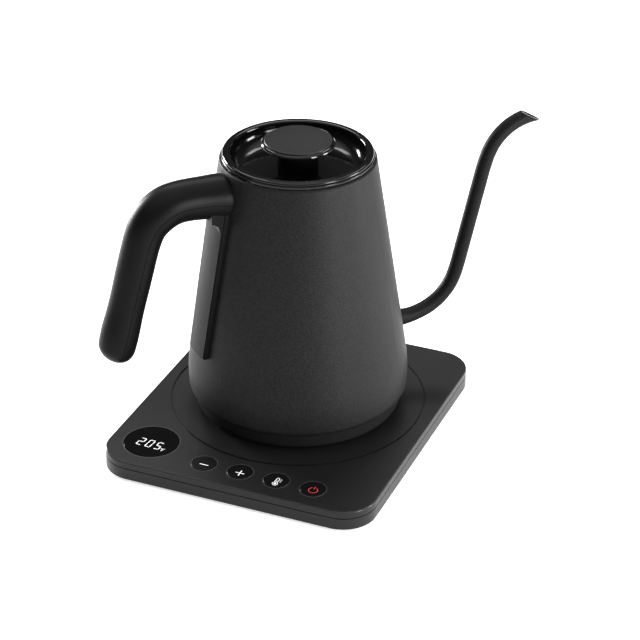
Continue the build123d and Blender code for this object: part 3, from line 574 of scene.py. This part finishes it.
class Legend:
    """Thin raised marks on a level surface, drawn as bars and ribbons round an origin."""

    def __init__(self, name, origin, z_low, turn=0.0, lean=0.0):
        self.name = name
        self.origin = Vector(origin)
        self.z_low = z_low
        self.z_high = z_low + LEGEND_THICKNESS
        self.turn = Matrix.Rotation(math.radians(turn), 2)
        self.lean = lean
        self.shape = bmesh.new()

    def placed(self, point, z):
        x, y = point
        spot = self.origin + self.turn @ Vector((x + self.lean * y, y))
        return self.shape.verts.new((spot.x, spot.y, z))

    def slab(self, outline):
        """A flat plate with that outline, counterclockwise."""
        low = [self.placed(point, self.z_low) for point in outline]
        high = [self.placed(point, self.z_high) for point in outline]
        self.shape.faces.new(high)
        self.shape.faces.new(low[::-1])
        for index in range(len(outline)):
            after = (index + 1) % len(outline)
            self.shape.faces.new((low[index], low[after], high[after], high[index]))

    def segment(self, start, end, width):
        """One display segment: a bar with pointed ends."""
        start = Vector(start)
        end = Vector(end)
        along = (end - start).normalized()
        start += along * DIGIT_GAP
        end -= along * DIGIT_GAP
        half = width / 2
        side = Vector((-along.y, along.x)) * half
        shoulder = along * half
        self.slab((
            start, start + shoulder - side, end - shoulder - side,
            end, end - shoulder + side, start + shoulder + side,
        ))

    def ribbon(self, path, width, closed=False):
        """A stroke of even width along a path."""
        path = [Vector(point) for point in path]
        count = len(path)
        rings = []
        for index, point in enumerate(path):
            before = path[index - 1] if index or closed else point
            after = path[(index + 1) % count] if index < count - 1 or closed else point
            along = (after - before).normalized()
            side = Vector((-along.y, along.x)) * width / 2
            right = point - side
            left = point + side
            rings.append((
                self.placed(right, self.z_low), self.placed(left, self.z_low),
                self.placed(left, self.z_high), self.placed(right, self.z_high),
            ))
        for index in range(count if closed else count - 1):
            near = rings[index]
            far = rings[(index + 1) % count]
            for corner in range(4):
                following = (corner + 1) % 4
                self.shape.faces.new((near[corner], far[corner], far[following], near[following]))
        if not closed:
            self.shape.faces.new(rings[0])
            self.shape.faces.new(rings[-1][::-1])

    def done(self, body, material):
        """Turns the drawing into a piece that rides on a body."""
        bmesh.ops.recalc_face_normals(self.shape, faces=self.shape.faces)
        mesh = bpy.data.meshes.new(self.name)
        self.shape.to_mesh(mesh)
        self.shape.free()
        mesh.materials.append(material)
        piece = bpy.data.objects.new(self.name, mesh)
        bpy.context.scene.collection.objects.link(piece)
        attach(piece, body)


def arc(centre, radius, start, end, steps):
    """Points round a circle from one angle to another, in degrees."""
    points = []
    for step in range(steps + 1):
        angle = math.radians(start + (end - start) * step / steps)
        x = centre[0] + radius * math.cos(angle)
        y = centre[1] + radius * math.sin(angle)
        points.append((x, y))
    return points


def face_of(node):
    """The middle of a node's top face, and the height just above it."""
    low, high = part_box(node)
    middle = (low + high) / 2
    return Vector((middle.x, middle.y)), high.z + LEGEND_LIFT


# Which of a digit's seven segments are lit: top, upper right, lower right, bottom, lower left,
# upper left, middle.
SEGMENTS = {"2": (0, 1, 6, 4, 3), "0": (0, 1, 2, 3, 4, 5), "5": (0, 5, 6, 2, 3)}


def digit(legend, character, middle_x):
    half_x = (DIGIT_WIDTH - DIGIT_STROKE) / 2
    half_y = (DIGIT_HEIGHT - DIGIT_STROKE) / 2
    left = middle_x - half_x
    right = middle_x + half_x
    ends = (
        ((left, half_y), (right, half_y)),
        ((right, half_y), (right, 0)),
        ((right, 0), (right, -half_y)),
        ((left, -half_y), (right, -half_y)),
        ((left, 0), (left, -half_y)),
        ((left, half_y), (left, 0)),
        ((left, 0), (right, 0)),
    )
    for number in SEGMENTS[character]:
        legend.segment(*ends[number], DIGIT_STROKE)


def display_digits(finishes):
    """The temperature, and a small degree sign and F after it."""
    middle, z_low = face_of("display_window")
    legend = Legend("display_digits", middle + ROW_OFFSET, z_low, ROW_TURN, DIGIT_LEAN)
    for number, character in enumerate(DIGITS):
        digit(legend, character, (number - 1) * DIGIT_PITCH)

    right = DIGIT_PITCH + DIGIT_WIDTH / 2
    bottom = -DIGIT_HEIGHT / 2 - UNIT_DROP
    top = bottom + UNIT_HEIGHT
    degree = arc((right + DEGREE_RIGHT, top - DEGREE_DROP), DEGREE_RADIUS, 0, 345, 12)
    legend.ribbon(degree, DEGREE_STROKE, closed=True)

    stem = right + UNIT_STEM
    legend.ribbon(((stem, bottom), (stem, top)), UNIT_STROKE)
    half = UNIT_STROKE / 2
    for height, length in ((top - half, UNIT_TOP_ARM), (top - UNIT_HEIGHT / 2, UNIT_MIDDLE_ARM)):
        legend.ribbon(((stem + half, height), (stem + length, height)), UNIT_STROKE)
    legend.done("base", finishes["legend_white"])


def hole_highlight_rings(finishes):
    """Fine lighter ring round the display and round each button's hole, a painted highlight on its
    edge.
    """
    deck_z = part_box("base_top_shell")[1].z
    for node in DECK_HOLES:
        low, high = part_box(node)
        middle = (low + high) / 2
        radius = (high.x - low.x) / 2 + RING_OUTSIDE
        if node != "display_window":
            radius -= BUTTON_FLANGE
        ring = Legend("edge_" + node, (middle.x, middle.y), deck_z)
        ring.ribbon(arc((0, 0), radius, 0, 357, 119), RING_WIDTH, closed=True)
        ring.done("base", finishes["edge_line"])


def draw_minus(legend):
    legend.ribbon(((-MINUS_REACH, 0), (MINUS_REACH, 0)), ICON_STROKE)


def draw_plus(legend):
    reach = PLUS_REACH
    half = ICON_STROKE / 2
    legend.slab((
        (-reach, -half), (-half, -half), (-half, -reach),
        (half, -reach), (half, -half), (reach, -half),
        (reach, half), (half, half), (half, reach),
        (-half, reach), (-half, half), (-reach, half),
    ))


def draw_thermometer(legend):
    """Outline of a tube with a bulb, the liquid in it and three marks beside it."""
    tube = 1.0 * MM
    bulb = 1.7 * MM
    liquid = 0.85 * MM
    bulb_y = -2.5 * MM
    level_y = 1.2 * MM
    top_y = 3.2 * MM
    mark_left = 2.0 * MM
    mark_right = 3.0 * MM
    mark_low = 0.5 * MM
    mark_pitch = 1.3 * MM
    opening = math.degrees(math.asin(tube / bulb))
    outline = arc((0, bulb_y), bulb, 90 + opening, 450 - opening, 28)
    outline += arc((0, top_y), tube, 0, 180, 14)
    legend.ribbon(outline, FINE_STROKE, closed=True)
    legend.slab(arc((0, bulb_y), liquid, 0, 350, 20))
    legend.ribbon(((0, bulb_y + liquid), (0, level_y)), FINE_STROKE)
    for number in range(3):
        mark_y = mark_low + number * mark_pitch
        legend.ribbon(((mark_left, mark_y), (mark_right, mark_y)), FINE_STROKE)


def draw_power(legend):
    """Broken ring with a bar in the gap."""
    half_gap = POWER_GAP / 2
    ring = arc((0, 0), POWER_RADIUS, 90 + half_gap, 450 - half_gap, 40)
    legend.ribbon(ring, ICON_STROKE)
    low, high = POWER_BAR
    legend.ribbon(((0, low), (0, high)), ICON_STROKE)


def button_icons(finishes):
    """A symbol on each button, which rides with it."""
    for name, slot_name, draw in (
        ("minus", "legend_white", draw_minus),
        ("plus", "legend_white", draw_plus),
        ("temperature", "legend_white", draw_thermometer),
        ("power", "legend_red", draw_power),
    ):
        middle, z_low = face_of("button_" + name)
        legend = Legend("icon_" + name, middle + ICON_OFFSET, z_low)
        draw(legend)
        legend.done("button_" + name + "_body", finishes[slot_name])


# ---------------------------------------------------------------- the scene

make_camera()
make_studio()
finishes = make_finishes()
dress_cad_nodes(finishes)
display_digits(finishes)
hole_highlight_rings(finishes)
button_icons(finishes)
